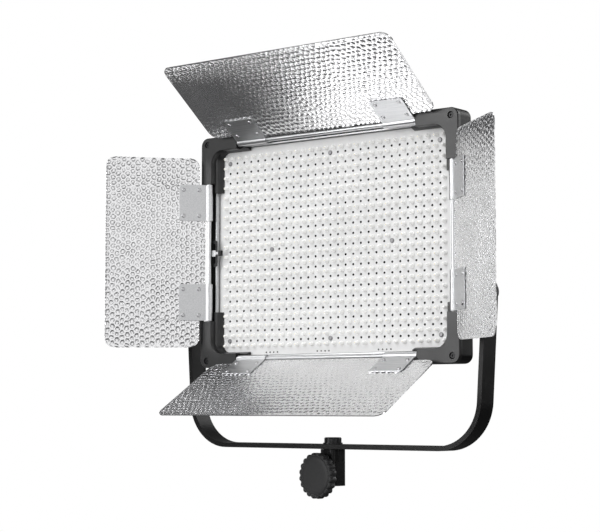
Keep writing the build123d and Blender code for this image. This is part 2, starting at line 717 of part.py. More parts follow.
for side in ("left", "right", "top", "bottom"):
    plane = door_plane(side)
    near, far, tongue = shape[side]
    leaf_y = tongue - leaf_len / 2 + 0.4
    rivets = [(x, sy * (leaf_y + dy)) for sy in (-1, 1) for x in (11.5, 29.0) for dy in (-14.5, 14.5)]

    with BuildPart() as sheet:
        with BuildSketch(plane.offset(-door_t / 2)) as outline:
            with BuildLine():
                Polyline((11.0, -near), (door_l[side], -far), (door_l[side], far), (11.0, near), close=True)
            make_face()
            fillet(outline.vertices(), door_r)
            with Locations((9.0, 0)):
                Rectangle(9.2, 2 * tongue)
            with Locations(*rivets):
                Circle(1.52, mode=Mode.SUBTRACT)
        extrude(amount=door_t)
    save(sheet.part, "door_sheet_" + side)

    with BuildPart() as plates:
        for sy in (-1, 1):
            with BuildSketch(plane.offset(door_t / 2)) as leaf:
                with Locations(((leaf_start + leaf_end) / 2, sy * leaf_y)):
                    Rectangle(leaf_end - leaf_start, leaf_len)
                fillet(leaf.vertices().sort_by_distance(plane.from_local_coords((0, 0, 0)))[-2:], 3.0)
            extrude(amount=1.0)
        for sy in (-1, 1):
            barrel = Plane(origin=plane.from_local_coords((0, sy * leaf_y - leaf_len / 2, 0)),
                           x_dir=plane.x_dir, z_dir=plane.y_dir)
            with BuildSketch(barrel):
                Circle(4.0)
            extrude(amount=leaf_len)
        for sy in (-1, 1):
            barrel = Plane(origin=plane.from_local_coords((0, sy * leaf_y - leaf_len / 2 - 1, 0)),
                           x_dir=plane.x_dir, z_dir=plane.y_dir)
            with BuildSketch(barrel):
                Circle(rod_r + 0.3)
            extrude(amount=leaf_len + 2, mode=Mode.SUBTRACT)
        with BuildSketch(plane.offset(-2.0)):
            with Locations(*rivets):
                Circle(1.52)
        extrude(amount=6.0, mode=Mode.SUBTRACT)
    save(plates.part, "hinge_plates_" + side)

    with BuildPart() as pins:
        with BuildSketch(plane.offset(-door_t / 2 - 0.8)):
            with Locations(*rivets):
                Circle(2.2)
        extrude(amount=0.8)
        with BuildSketch(plane.offset(-door_t / 2)):
            with Locations(*rivets):
                Circle(1.5)
        extrude(amount=door_t + 1.0)
        with BuildSketch(plane.offset(door_t / 2 + 1.0)):
            with Locations(*rivets):
                Circle(2.2)
        extrude(amount=1.0, taper=30)
    save(pins.part, "hinge_rivets_" + side)
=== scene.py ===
# %% [markdown]
# # LED panel light
# A studio panel of 600 LEDs with four hammered barn doors, hung in a U-shaped yoke on a stand receiver.
# Everything here is in metres, +Z is up, and the light shines towards -Y.

# %% Load the frame
import bpy
import bmesh
import json
import math
import numpy as np
from mathutils import Vector, Matrix, kdtree


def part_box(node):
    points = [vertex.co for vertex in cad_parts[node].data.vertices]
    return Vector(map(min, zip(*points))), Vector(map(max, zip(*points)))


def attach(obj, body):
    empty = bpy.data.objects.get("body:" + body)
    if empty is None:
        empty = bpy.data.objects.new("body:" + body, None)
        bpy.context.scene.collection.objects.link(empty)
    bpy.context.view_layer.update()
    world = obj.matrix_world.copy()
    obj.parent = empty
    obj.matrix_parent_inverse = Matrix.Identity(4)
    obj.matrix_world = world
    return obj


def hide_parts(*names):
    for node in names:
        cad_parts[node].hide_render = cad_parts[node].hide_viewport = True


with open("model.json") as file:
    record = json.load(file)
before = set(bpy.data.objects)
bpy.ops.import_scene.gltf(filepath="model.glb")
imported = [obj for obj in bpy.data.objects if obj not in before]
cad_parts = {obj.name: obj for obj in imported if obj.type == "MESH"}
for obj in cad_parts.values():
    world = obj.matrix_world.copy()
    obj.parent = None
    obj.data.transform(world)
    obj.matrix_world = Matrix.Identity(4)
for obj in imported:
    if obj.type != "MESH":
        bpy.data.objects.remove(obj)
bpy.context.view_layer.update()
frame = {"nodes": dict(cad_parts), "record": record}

scene = bpy.context.scene
joints = {j["name"]: j for j in frame["record"]["behaviour"]["joints"]}

# %% [markdown]
# ## Measures taken from the solid model
# The housing, the board and the guards could be typed in again as numbers, but then the dressing would
# drift away from the solids at the first change. They are read from the boxes of their nodes instead.
# Only the spacing of the LEDs is typed, because a box can't tell how its inside is divided.

# %% Measures
shell_lo, shell_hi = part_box("rear_shell")
board_lo, board_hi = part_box("led_board")
guard_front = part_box("corner_guards")[0].y
centre_z = (shell_lo.z + shell_hi.z) / 2
half_w = (shell_hi.x - shell_lo.x) / 2
half_h = (shell_hi.z - shell_lo.z) / 2
board_front = board_lo.y
pitch_x, pitch_z = 0.010, 0.011
columns, rows = 30, 20
print("housing", round(2 * half_w, 3), "by", round(2 * half_h, 3), "board front at", round(board_front, 4))

# %% [markdown]
# ## Camera
# It stands to the right of the light and a little below its middle. A long lens keeps the yoke, the board
# and the near door in proportion, where a short one would blow up the door. Its direction is given as two
# angles, because they are easier to read and to change than a rotation matrix.

# %% Camera
camera_at = Vector((1.0791, -1.4257, 0.0836))
camera_azimuth, camera_elevation = math.radians(38.23), math.radians(-4.74)
lens_mm, sensor_mm = 101.24, 36.0

camera_data = bpy.data.cameras.new("camera")
camera_data.sensor_width = sensor_mm
camera_data.lens = lens_mm
camera_data.clip_end = 50.0
camera = bpy.data.objects.new("camera", camera_data)
scene.collection.objects.link(camera)
level = math.cos(camera_elevation)
to_camera = Vector((math.sin(camera_azimuth) * level, -math.cos(camera_azimuth) * level,
                    math.sin(camera_elevation)))
turn = to_camera.to_track_quat("Z", "Y").to_matrix().to_4x4()
camera.matrix_world = Matrix.Translation(camera_at) @ turn
scene.camera = camera
print("camera", [round(v, 3) for v in camera.location])

# %% [markdown]
# ## Making and editing meshes
# A mesh could be modelled by hand from primitives. Plain lists of points and faces are easier to drive
# from the measures above, so each shape below is worked out as lists and handed to one function. The
# other helpers decide which edges stay crisp, turn faces outwards and bake modifiers into the mesh.

# %% Mesh helpers
weld_distance = 1e-6


def make_mesh(name, verts, faces, smooth=True):
    """A mesh object from plain lists of points and faces."""
    data = bpy.data.meshes.new(name)
    data.from_pydata([tuple(v) for v in verts], [], [tuple(int(i) for i in f) for f in faces])
    data.validate()
    data.update()
    if smooth:
        data.shade_smooth()
    obj = bpy.data.objects.new(name, data)
    scene.collection.objects.link(obj)
    return obj


def split_edges(obj, degrees=35.0):
    """Edges sharper than this angle stay crisp while the rest shades smoothly."""
    obj.data.shade_smooth()
    obj.data.set_sharp_from_angle(angle=math.radians(degrees))
    return obj


def face_outwards(obj):
    """Turns every face of a closed mesh to look out of it."""
    bm = bmesh.new()
    bm.from_mesh(obj.data)
    bmesh.ops.recalc_face_normals(bm, faces=bm.faces)
    bm.to_mesh(obj.data)
    bm.free()
    return obj


def bake_modifiers(obj):
    """Puts the result of the modifiers into the mesh itself."""
    bpy.context.view_layer.update()
    graph = bpy.context.evaluated_depsgraph_get()
    obj.data = bpy.data.meshes.new_from_object(obj.evaluated_get(graph))
    obj.modifiers.clear()
    return obj


print("mesh helpers ready")

# %% [markdown]
# ## Joining a piece to the model
# A new piece needs a material, a body to ride on and, where it stands in for a solid, the name of that
# node. One function does all three, so that no piece can be left behind when a joint moves.

# %% Joining helper
def place(obj, body, material, slot, *nodes):
    """Material or materials, slot (not used), body and the CAD nodes that the piece stands for."""
    index = [p.material_index for p in obj.data.polygons]
    obj.data.materials.clear()
    for m in material if isinstance(material, (list, tuple)) else [material]:
        obj.data.materials.append(m)
    if len(obj.data.materials) > 1:
        obj.data.polygons.foreach_set("material_index", index)
    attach(obj, body)
    if nodes:
        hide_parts(*nodes)
    return obj


print("joining helper ready")

# %% [markdown]
# ## Floor and surround
# A studio sweep is white behind the object. White walls on every side would also fill every reflection
# and leave the metal flat, so the floor and the surround look white to the camera but stay dark to all
# other rays. The Light Path node tells the two kinds of ray apart.

# %% Floor and surround
floor_z, floor_reach = -0.62, 9.0
floor_grey, surround_strength = 0.08, 0.13


def white_to_camera(tree, usual, white, output):
    """Camera rays meet the white shader, and all other rays meet the usual one."""
    path = tree.nodes.new("ShaderNodeLightPath")
    mix = tree.nodes.new("ShaderNodeMixShader")
    tree.links.new(path.outputs["Is Camera Ray"], mix.inputs[0])
    tree.links.new(usual.outputs[0], mix.inputs[1])
    tree.links.new(white.outputs[0], mix.inputs[2])
    tree.links.new(mix.outputs[0], output.inputs["Surface"])


signs = [(-1, -1), (1, -1), (1, 1), (-1, 1)]
floor = make_mesh("floor", [(floor_reach * x, floor_reach * y, floor_z) for x, y in signs], [(0, 1, 2, 3)])
floor_finish = bpy.data.materials.new("pale floor")
floor_finish.use_nodes = True
floor_tree = floor_finish.node_tree
floor_shader = floor_tree.nodes["Principled BSDF"]
floor_shader.inputs["Base Color"].default_value = (floor_grey, floor_grey, floor_grey, 1)
floor_shader.inputs["Roughness"].default_value = 0.9
floor_glow = floor_tree.nodes.new("ShaderNodeEmission")
white_to_camera(floor_tree, floor_shader, floor_glow, floor_tree.nodes["Material Output"])
floor.data.materials.append(floor_finish)

surround = bpy.data.worlds.new("studio")
scene.world = surround
surround.use_nodes = True
sky_tree = surround.node_tree
sky_tree.nodes.clear()
sky_out = sky_tree.nodes.new("ShaderNodeOutputWorld")
dim_sky = sky_tree.nodes.new("ShaderNodeBackground")
white_sky = sky_tree.nodes.new("ShaderNodeBackground")
for sky, strength in ((dim_sky, surround_strength), (white_sky, 1.0)):
    sky.inputs["Color"].default_value = (1, 1, 1, 1)
    sky.inputs["Strength"].default_value = strength
white_to_camera(sky_tree, dim_sky, white_sky, sky_out)
scene.view_settings.view_transform = "Standard"
print("floor at", floor_z, "surround strength", surround_strength)

# %% [markdown]
# ## Lamps
# Hammered metal and black paint show what they mirror more than what lights them. Each lamp is therefore
# a large soft rectangle whose brightness is set as seen in a mirror, and the dark gaps between lamps give
# the metal its contrast. A small low lamp lifts the doors from below.

# %% Lamps
def lamp(name, where, size, mirror_brightness, target=(0.0, 0.0, 0.25)):
    """A soft rectangular lamp facing a point, as bright in a mirror as mirror_brightness says."""
    data = bpy.data.lights.new(name, "AREA")
    data.shape = "RECTANGLE"
    data.size, data.size_y = size
    data.energy = mirror_brightness * math.pi * size[0] * size[1]
    obj = bpy.data.objects.new(name, data)
    scene.collection.objects.link(obj)
    obj.location = where
    obj.rotation_euler = (Vector(where) - Vector(target)).to_track_quat("Z", "Y").to_euler()
    obj.visible_camera = False
    return obj


lamp("front left", (-1.05, -2.25, 0.60), (0.80, 1.60), 6.0)
lamp("left back", (-2.00, 0.85, 0.40), (1.60, 1.30), 2.1)
lamp("beside camera", (2.00, -1.85, 0.55), (1.30, 1.60), 0.95)
lamp("right strip", (2.15, -0.45, 0.45), (0.30, 1.80), 3.5)
lamp("front strip", (0.75, -2.60, 0.60), (0.40, 1.80), 5.0)
lamp("overhead front", (-0.60, -2.30, 2.30), (1.50, 1.20), 5.5)
lamp("overhead", (0.20, -0.10, 2.60), (1.60, 1.20), 1.4)
lamp("rear fill", (0.70, 2.80, 1.20), (1.80, 1.60), 3.2)
lamp("rear side", (2.40, 1.90, 0.80), (0.80, 1.60), 1.0)
lamp("low bounce", (-0.68, 0.02, -0.58), (0.36, 0.60), 2.4)

# %% [markdown]
# ## Shared surface effects
# Powder coat, moulded plastic and etched metal all have a fine grain, and handling leaves larger soft
# smudges. Brushed metal has long thin lines instead. A picture of such a surface would repeat and would
# need unwrapping, so both effects are worked out from noise in object space. Each is one shader group
# with named sockets, and every material uses it with its own values.

# %% Group helper
def new_group(name, inputs, outputs):
    """A shader group whose sockets are plain numbers: inputs are (name, value), outputs are names."""
    tree = bpy.data.node_groups.new(name, "ShaderNodeTree")
    for label, value in inputs:
        socket = tree.interface.new_socket(label, in_out="INPUT", socket_type="NodeSocketFloat")
        socket.default_value = value
    for label in outputs:
        tree.interface.new_socket(label, in_out="OUTPUT", socket_type="NodeSocketFloat")
    return tree, tree.nodes.new("NodeGroupInput"), tree.nodes.new("NodeGroupOutput")


def stretched_mask(tree, value, low, high, output):
    """Spreads the middle range of a noise from low to high over a mask from 0 to 1."""
    stretch = tree.nodes.new("ShaderNodeMapRange")
    stretch.inputs["From Min"].default_value = low
    stretch.inputs["From Max"].default_value = high
    tree.links.new(value, stretch.inputs["Value"])
    tree.links.new(stretch.outputs["Result"], output)


print("group helper ready")

# %% [markdown]
# ### Fine grain
# A small noise gives the height of the coat's grain, and a large one gives a mask of smudges. They stay
# separate, because a smudge changes colour and gloss but has no height.

# %% Fine grain
def grain_group():
    """Height of a fine coat grain and a mask of soft smudges."""
    tree, group_in, group_out = new_group("fine grain", [("Scale", 1800.0), ("Wear Scale", 26.0)],
                                          ["Height", "Smudge"])
    coord = tree.nodes.new("ShaderNodeTexCoord")
    fine = tree.nodes.new("ShaderNodeTexNoise")
    fine.inputs["Detail"].default_value = 3.0
    soft = tree.nodes.new("ShaderNodeTexNoise")
    soft.inputs["Detail"].default_value = 5.0
    soft.inputs["Roughness"].default_value = 0.62
    for noise, scale in ((fine, "Scale"), (soft, "Wear Scale")):
        tree.links.new(coord.outputs["Object"], noise.inputs["Vector"])
        tree.links.new(group_in.outputs[scale], noise.inputs["Scale"])
    tree.links.new(fine.outputs["Fac"], group_out.inputs["Height"])
    stretched_mask(tree, soft.outputs["Fac"], 0.35, 0.7, group_out.inputs["Smudge"])
    return tree


grain = grain_group()
print("group", grain.name)

# %% [markdown]
# ### Brushed lines
# The same noise is squeezed across the lines and stretched along them. Three numbers set how much along
# X, Y and Z, so that one group can brush a piece in any direction.

# %% Brushed lines
def brushed_group():
    """Height of fine parallel lines and a mask of bright and dull streaks."""
    tree, group_in, group_out = new_group("brushed lines",
                                          [("Along X", 30.0), ("Along Y", 900.0), ("Along Z", 900.0)],
                                          ["Height", "Streak"])
    coord = tree.nodes.new("ShaderNodeTexCoord")
    scale = tree.nodes.new("ShaderNodeCombineXYZ")
    squeeze = tree.nodes.new("ShaderNodeVectorMath")
    squeeze.operation = "MULTIPLY"
    for axis in ("X", "Y", "Z"):
        tree.links.new(group_in.outputs["Along " + axis], scale.inputs[axis])
    tree.links.new(coord.outputs["Object"], squeeze.inputs[0])
    tree.links.new(scale.outputs[0], squeeze.inputs[1])
    noise = tree.nodes.new("ShaderNodeTexNoise")
    noise.inputs["Scale"].default_value = 1.0
    noise.inputs["Detail"].default_value = 4.0
    tree.links.new(squeeze.outputs[0], noise.inputs["Vector"])
    tree.links.new(noise.outputs["Fac"], group_out.inputs["Height"])
    stretched_mask(tree, noise.outputs["Fac"], 0.3, 0.7, group_out.inputs["Streak"])
    return tree


brushed = brushed_group()
print("group", brushed.name)

# %% [markdown]
# ## How a finish is built
# Real finishes are never one flat colour. Every material blends two near colours and two gloss levels
# with its group's mask, and takes a small bump from the group's height. Values that are the same all
# over, such as metal or coat, are set on the shader itself.

# %% Finish builder
bump_height = 0.0002


def make_finish(name, low, high, rough=(0.4, 0.6), metallic=0.0, group=grain, settings=None,
                mask="Smudge", bump=0.05, coat=0.0):
    """Principled material whose colour and roughness follow the group's mask."""
    made = bpy.data.materials.new(name)
    made.use_nodes = True
    tree = made.node_tree
    shader = tree.nodes["Principled BSDF"]
    shader.inputs["Metallic"].default_value = metallic
    shader.inputs["Coat Weight"].default_value = coat
    effect = tree.nodes.new("ShaderNodeGroup")
    effect.node_tree = group
    for label, value in (settings or {}).items():
        effect.inputs[label].default_value = value
    colour = tree.nodes.new("ShaderNodeMix")
    colour.data_type = "RGBA"
    colour.inputs[6].default_value = (*low, 1)
    colour.inputs[7].default_value = (*high, 1)
    tree.links.new(effect.outputs[mask], colour.inputs[0])
    tree.links.new(colour.outputs[2], shader.inputs["Base Color"])
    gloss = tree.nodes.new("ShaderNodeMapRange")
    gloss.inputs["To Min"].default_value, gloss.inputs["To Max"].default_value = rough
    tree.links.new(effect.outputs[mask], gloss.inputs["Value"])
    tree.links.new(gloss.outputs["Result"], shader.inputs["Roughness"])
    relief = tree.nodes.new("ShaderNodeBump")
    relief.inputs["Strength"].default_value = bump
    relief.inputs["Distance"].default_value = bump_height
    tree.links.new(effect.outputs["Height"], relief.inputs["Height"])
    tree.links.new(relief.outputs["Normal"], shader.inputs["Normal"])
    return made


def shader_of(made):
    """The Principled shader of a finish, for a value that only this one needs."""
    return made.node_tree.nodes["Principled BSDF"]


finish = {}
print("finish builder ready")

# %% [markdown]
# ## Black finishes
# The yoke and the housing are powder coated, the guards and cases are moulded, and the knobs are a paler,
# duller plastic. Black parts differ by gloss far more than by colour, so each has its own roughness
# range. The paint also reflects less than plastic, or it would look grey where it faces a lamp.

# %% Black finishes
finish["black_paint"] = make_finish("black paint", (0.0035, 0.0035, 0.0038), (0.007, 0.007, 0.0074),
                                    (0.3, 0.4), bump=0.25)
shader_of(finish["black_paint"]).inputs["Specular IOR Level"].default_value = 0.22
finish["black_plastic"] = make_finish("black plastic", (0.014, 0.014, 0.015), (0.022, 0.022, 0.023),
                                      (0.45, 0.6), bump=0.4)
finish["guard_plastic"] = make_finish("guard plastic", (0.010, 0.010, 0.0105), (0.016, 0.016, 0.0165),
                                      (0.3, 0.38), bump=0.3)
finish["knob_plastic"] = make_finish("knob plastic", (0.026, 0.026, 0.027), (0.036, 0.036, 0.037),
                                     (0.5, 0.62), bump=0.3)
finish["rubber"] = make_finish("rubber", (0.012, 0.012, 0.012), (0.02, 0.02, 0.02), (0.65, 0.8), bump=0.3)
finish["black_steel"] = make_finish("black steel", (0.012, 0.012, 0.013), (0.03, 0.03, 0.032),
                                    (0.3, 0.45), metallic=0.4, bump=0.15)
print("finishes", len(finish))

# %% [markdown]
# ## Metal finishes
# Screws are zinc plated, hinge plates are brushed aluminium, and the doors are bright on the inside and
# dull on the back. A metal's base colour is the colour of its reflection, so these are far paler than
# they look.

# %% Metal finishes
finish["steel"] = make_finish("zinc steel", (0.42, 0.42, 0.43), (0.62, 0.62, 0.63),
                              (0.22, 0.38), metallic=1.0, bump=0.1)
finish["dull_steel"] = make_finish("dull screws", (0.20, 0.20, 0.205), (0.32, 0.32, 0.325),
                                   (0.4, 0.55), metallic=1.0, bump=0.1)
finish["aluminium"] = make_finish("satin aluminium", (0.55, 0.56, 0.57), (0.72, 0.72, 0.73), (0.28, 0.4),
                                  metallic=1.0, group=brushed, mask="Streak", bump=0.12)
finish["hammered_aluminium"] = make_finish("hammered aluminium", (0.80, 0.80, 0.81), (0.92, 0.92, 0.93),
                                           (0.17, 0.25), metallic=1.0, bump=0.04, settings={"Scale": 900.0})
finish["door_back"] = make_finish("door back", (0.40, 0.40, 0.41), (0.55, 0.55, 0.56),
                                  (0.42, 0.55), metallic=1.0, bump=0.1, settings={"Scale": 900.0})
finish["brass"] = make_finish("brass", (0.6, 0.42, 0.18), (0.75, 0.56, 0.28),
                              (0.2, 0.35), metallic=1.0, bump=0.1)
print("finishes", len(finish))

# %% [markdown]
# ## Board, LED and control finishes
# The board is white solder mask and the LEDs are clear plastic over a white cup. Real glass domes by the
# hundred are slow and noisy to render, so each dome is a glossy white, which reads the same at this size.
# The LEDs are off, so the faint glow given to each dome is painted light that lifts its shaded sides to
# the brightness of the board. The phosphor spots are warm in one column and cool in the next.

# %% Board, LED and control finishes
finish["white_board"] = make_finish("white board", (0.76, 0.76, 0.76), (0.84, 0.84, 0.84),
                                    (0.35, 0.5), bump=0.06)
finish["led_lens"] = make_finish("led lens", (0.95, 0.95, 0.94), (0.99, 0.99, 0.98),
                                 (0.04, 0.10), bump=0.01, coat=0.3)
# Painted light: the unlit domes get a faint emission that lifts their shaded sides.
shader_of(finish["led_lens"]).inputs["Emission Color"].default_value = (1.0, 0.99, 0.97, 1)
shader_of(finish["led_lens"]).inputs["Emission Strength"].default_value = 0.16
finish["led_warm"] = make_finish("warm phosphor", (0.88, 0.80, 0.60), (0.94, 0.88, 0.72),
                                 (0.3, 0.4), bump=0.05)
finish["led_cool"] = make_finish("cool phosphor", (0.86, 0.87, 0.84), (0.92, 0.93, 0.92),
                                 (0.3, 0.4), bump=0.05)
# Painted shade: the near black of each hole's wall and shallow floor stands in for the dark inside the
# hole.
finish["hole_dark"] = make_finish("hole painted shade", (0.01, 0.01, 0.01), (0.03, 0.028, 0.025),
                                  (0.6, 0.8), bump=0.05)
finish["green_board"] = make_finish("circuit board", (0.01, 0.07, 0.03), (0.02, 0.11, 0.05),
                                    (0.35, 0.5), bump=0.1)
finish["display_glass"] = make_finish("display glass", (0.010, 0.016, 0.02), (0.014, 0.02, 0.026),
                                      (0.05, 0.12), bump=0.01, coat=0.5)
finish["ink"] = make_finish("printed marks", (0.6, 0.6, 0.6), (0.75, 0.75, 0.75), (0.5, 0.6), bump=0.05)
print("finishes", len(finish))

# %% [markdown]
# ## Door measures
# Each barn door is a thin sheet with rounded corners. Near its hinge it narrows to a tongue that reaches
# the barrel between the corner guards. The two half widths are at the hinge end and at the free end.

# %% Door measures
door_angle = {"left": 47.4, "right": 37.2, "top": 52.7, "bottom": 59.4}
door_length = {"left": 0.1156, "right": 0.1156, "top": 0.1190, "bottom": 0.1190}
door_half = {"left": (0.1054, 0.1060), "right": (0.1054, 0.1060),
             "top": (0.1490, 0.1492), "bottom": (0.1466, 0.1464)}
tongue_half = {"left": 0.0755, "right": 0.0755, "top": 0.1183, "bottom": 0.1183}
door_start, tongue_start = 0.011, 0.0046
door_corner = 0.0105
print("doors", len(door_angle), "longest", max(door_length.values()))

# %% [markdown]
# ## Where a door stands
# Modelling a sheet straight at its angle would be awkward, so each one is made flat and then turned into
# place. Its local x runs out from the hinge, y runs along the hinge, and z points out of the reflective
# face. The matrix that turns it is built from the angle at rest, and the hinge itself comes from the
# record.

# %% Door position
def door_position(side):
    """Matrix that takes a flat door to its place at rest."""
    a = math.radians(door_angle[side])
    s, c = math.sin(a), math.cos(a)
    x, z = {"left": ((-c, -s, 0), (s, -c, 0)), "right": ((c, -s, 0), (-s, -c, 0)),
            "top": ((0, -s, c), (0, -c, -s)), "bottom": ((0, -s, -c), (0, -c, s))}[side]
    x, z = Vector(x), Vector(z)
    turned_axes = Matrix((x, z.cross(x), z)).transposed().to_4x4()
    return Matrix.Translation(Vector(joints["door_" + side + "_hinge"]["pos_m"])) @ turned_axes


def door_edges(side, t):
    """Inner and outer x of the sheet at t, from -1 at one end of the door to 1 at the other."""
    near, far = door_half[side]
    r, out = door_corner, door_length[side]
    y_in, y_out = abs(t) * near, abs(t) * far
    past_in, past_out = max(y_in - near + r, 0.0), max(y_out - far + r, 0.0)
    x_in = door_start + r - math.sqrt(max(r * r - past_in ** 2, 0.0))
    x_out = out - r + math.sqrt(max(r * r - past_out ** 2, 0.0))
    if y_in < tongue_half[side]:
        x_in = tongue_start
    return x_in, x_out


print("left door starts at", [round(v, 4) for v in door_edges("left", 0.0)])

# %% [markdown]
# ## Hammer marks
# Hammered sheet is a field of shallow dishes that meet in soft ridges. A bump map could fake it, but the
# ridges catch light one by one and show at the sheet's edge, so they are real geometry. The marks sit on
# a staggered grid whose points are moved a little by seeded random numbers. A search tree then finds the
# two nearest marks to any point: where both are equally far away there is a ridge, and close to one of
# them the dish is at its deepest.

# %% Hammer marks
mark_spacing, mark_stagger = 0.0064, 0.24
mark_depth, mark_slope = 0.00058, 0.0050
marks_from, marks_to, past_edge = -0.004, 0.125, 0.01
row_step = 0.87 * mark_spacing


def hammer_marks(seed, half_width):
    """Search tree of the marks' centres over a sheet."""
    rng = np.random.default_rng(seed)
    reach = half_width + past_edge
    points = []
    row = 0
    x = marks_from
    while x < marks_to:
        y = -reach + (row % 2) * mark_spacing / 2
        while y < reach:
            aside_x = rng.uniform(-mark_stagger, mark_stagger) * mark_spacing
            aside_y = rng.uniform(-mark_stagger, mark_stagger) * mark_spacing
            points.append((x + aside_x, y + aside_y, 0))
            y += mark_spacing
        x += row_step
        row += 1
    tree = kdtree.KDTree(len(points))
    for i, p in enumerate(points):
        tree.insert(p, i)
    tree.balance()
    return tree


def mark_depth_at(marks, x, y):
    """Depth of the nearest dish at a point: nothing on a ridge, full depth near a centre."""
    nearest, second = marks.find_n((x, y, 0), 2)
    inside = min((second[2] - nearest[2]) / mark_slope, 1.0)
    return mark_depth * (1 - (1 - inside) ** 2)


print("hammer marks every", mark_spacing)

# %% [markdown]
# ## Barn doors
# The sheet is a grid that fits itself between the door's two edges. Its face is pushed down at each mark,
# except close to the rim, where the real sheet is pressed flat. A Solidify modifier gives it thickness
# and puts the duller finish on the back.

# %% Barn doors
grid_step, cells_across, flat_cells = 0.00115, 96, 2
face_height, sheet_thickness = 0.00055, 0.0009


def door_sheet(side, seed):
    """Hammered sheet of one door, in place at its rest angle."""
    near, far = door_half[side]
    marks = hammer_marks(seed, max(near, far))
    cells_along = int(2 * far / grid_step)
    verts, faces = [], []
    for i in range(cells_along + 1):
        t = -1 + 2 * i / cells_along
        x_in, x_out = door_edges(side, t)
        for k in range(cells_across + 1):
            x = x_in + (x_out - x_in) * k / cells_across
            y = t * (near + (far - near) * (x - door_start) / (door_length[side] - door_start))
            from_rim = min(k, cells_across - k, i, cells_along - i)
            rim = min(from_rim / flat_cells, 1.0)
            verts.append((x, y, face_height - mark_depth_at(marks, x, y) * rim))
    line = cells_across + 1
    for i in range(cells_along):
        for k in range(cells_across):
            a = i * line + k
            faces.append((a, a + 1, a + line + 1, a + line))
    sheet = make_mesh("hammered_sheet_" + side, verts, faces)
    solid = sheet.modifiers.new("thickness", "SOLIDIFY")
    solid.thickness = sheet_thickness
    solid.offset = -1.0
    solid.material_offset = 1
    both_faces = (finish["hammered_aluminium"], finish["door_back"])
    for m in both_faces:
        sheet.data.materials.append(m)
    bake_modifiers(sheet)
    sheet.data.transform(door_position(side))
    sheet.data.update()
    split_edges(sheet, degrees=50.0)
    return place(sheet, "door_" + side, both_faces, "hammered_aluminium", "door_sheet_" + side)


first_seed = 11
for number, side in enumerate(("left", "right", "top", "bottom")):
    sheet = door_sheet(side, first_seed + number)
    print(sheet.name, len(sheet.data.vertices), "points")

# %% [markdown]
# ## Circuit board with holes
# A hole sits at the middle of every four LEDs. Cutting hundreds of holes with a Boolean would be
# slow and leave ragged faces. One square tile with a round hole in it repeats on the LED pitch instead,
# and four plain strips finish the board's margins. The hole's wall and floor take the second material,
# a near black that is painted shade for the dark inside the hole.

# %% Board with holes
hole_radius, hole_depth, points_per_side = 0.00130, 0.0015, 4


def tile_outline():
    """Points round a unit square, starting at a corner, with the same number on every side."""
    sides = []
    for turn_number in range(4):
        for k in range(points_per_side):
            f = -0.5 + k / points_per_side
            sides.append([(f, -0.5), (0.5, f), (-f, 0.5), (-0.5, -f)][turn_number])
    return sides


def board_mesh():
    """White front of the board, with a dark hole between every four LEDs."""
    outline = tile_outline()
    n = len(outline)
    round_points = [(hole_radius * math.cos(a), hole_radius * math.sin(a))
                    for a in (math.atan2(z, x) for x, z in outline)]
    verts, faces, dark = [], [], set()
    for i in range(1 - columns // 2, columns // 2):
        for j in range(1 - rows // 2, rows // 2):
            base = len(verts)
            cx, cz = i * pitch_x, centre_z + j * pitch_z
            verts += [(cx + x * pitch_x, board_front, cz + z * pitch_z) for x, z in outline]
            verts += [(cx + x, board_front, cz + z) for x, z in round_points]
            verts += [(cx + x, board_front + hole_depth, cz + z) for x, z in round_points]
            for k in range(n):
                m = (k + 1) % n
                faces.append((base + k, base + m, base + n + m, base + n + k))
                dark.add(len(faces))
                faces.append((base + n + k, base + n + m, base + 2 * n + m, base + 2 * n + k))
            dark.add(len(faces))
            faces.append(tuple(base + 2 * n + k for k in range(n)))
    tiles_x, tiles_z = (columns // 2 - 0.5) * pitch_x, (rows // 2 - 0.5) * pitch_z
    edge_x, low, high = board_hi.x, board_lo.z, board_hi.z
    tiles_low, tiles_high = centre_z - tiles_z, centre_z + tiles_z
    margins = [(-edge_x, edge_x, tiles_high, high), (-edge_x, edge_x, low, tiles_low),
               (-edge_x, -tiles_x, tiles_low, tiles_high), (tiles_x, edge_x, tiles_low, tiles_high)]
    for x0, x1, z0, z1 in margins:
        base = len(verts)
        verts += [(x, board_front, z) for x, z in ((x0, z0), (x1, z0), (x1, z1), (x0, z1))]
        faces.append((base, base + 1, base + 2, base + 3))
    obj = make_mesh("board_with_holes", verts, faces, smooth=False)
    bm = bmesh.new()
    bm.from_mesh(obj.data)
    bm.faces.ensure_lookup_table()
    for index in dark:
        bm.faces[index].material_index = 1
    bmesh.ops.remove_doubles(bm, verts=bm.verts, dist=weld_distance)
    bm.to_mesh(obj.data)
    bm.free()
    return obj


board = board_mesh()
# The second finish is the painted shade inside the holes.
place(board, "head", (finish["white_board"], finish["hole_dark"]), "white_board", "led_board")
print("board points", len(board.data.vertices))

# %% [markdown]
# ## Turned shapes
# LEDs, solder joints and drill cutters are all round about one axis. A lathe in code is short: a list of
# radii and heights is swept round, and a last radius of 0 closes the shape in a point.

# %% Turned shapes
def turned(profile, segments):
    """Points and faces of a turned shape: profile is (radius, height) from base to top."""
    verts, faces = [], []
    for r, h in profile:
        if r == 0:
            verts.append((0.0, 0.0, h))
            continue
        for k in range(segments):
            a = 2 * math.pi * k / segments
            verts.append((r * math.cos(a), r * math.sin(a), h))
    for i in range(len(profile) - 1):
        here, above = i * segments, (i + 1) * segments
        for k in range(segments):
            m = (k + 1) % segments
            if profile[i + 1][0] == 0:
                faces.append((here + k, here + m, above))
            else:
                faces.append((here + k, here + m, above + m, above + k))
    return verts, faces


